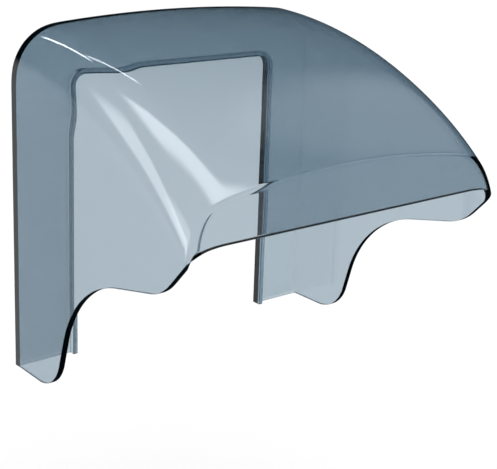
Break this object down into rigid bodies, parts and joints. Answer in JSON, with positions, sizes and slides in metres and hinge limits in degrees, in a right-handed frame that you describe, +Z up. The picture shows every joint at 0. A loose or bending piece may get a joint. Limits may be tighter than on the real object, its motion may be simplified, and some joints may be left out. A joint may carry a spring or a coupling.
{
  "type": "waterproof outlet cover",
  "caption": "Clear smoke-grey splash hood that sticks to the wall round a wall socket, with an arched roof, a front apron, wavy side edges and an open bottom for the cable.",
  "frame": {"origin": "centre of the 86 mm socket plate that the hood goes round, on the plane of the wall", "axes": "+Y into the wall, so the hood stands out towards -Y; +Z up; +X to the right seen from the room"},
  "size_m": [0.1354, 0.1039, 0.126],
  "materials": {
    "smoke_clear_plastic": "clear, gloss moulded",
    "clear_tape": "clear, soft adhesive"
  },
  "bodies": {
    "root": {"hood": "smoke_clear_plastic", "adhesive_tape": "clear_tape"}
  },
  "joints": []
}
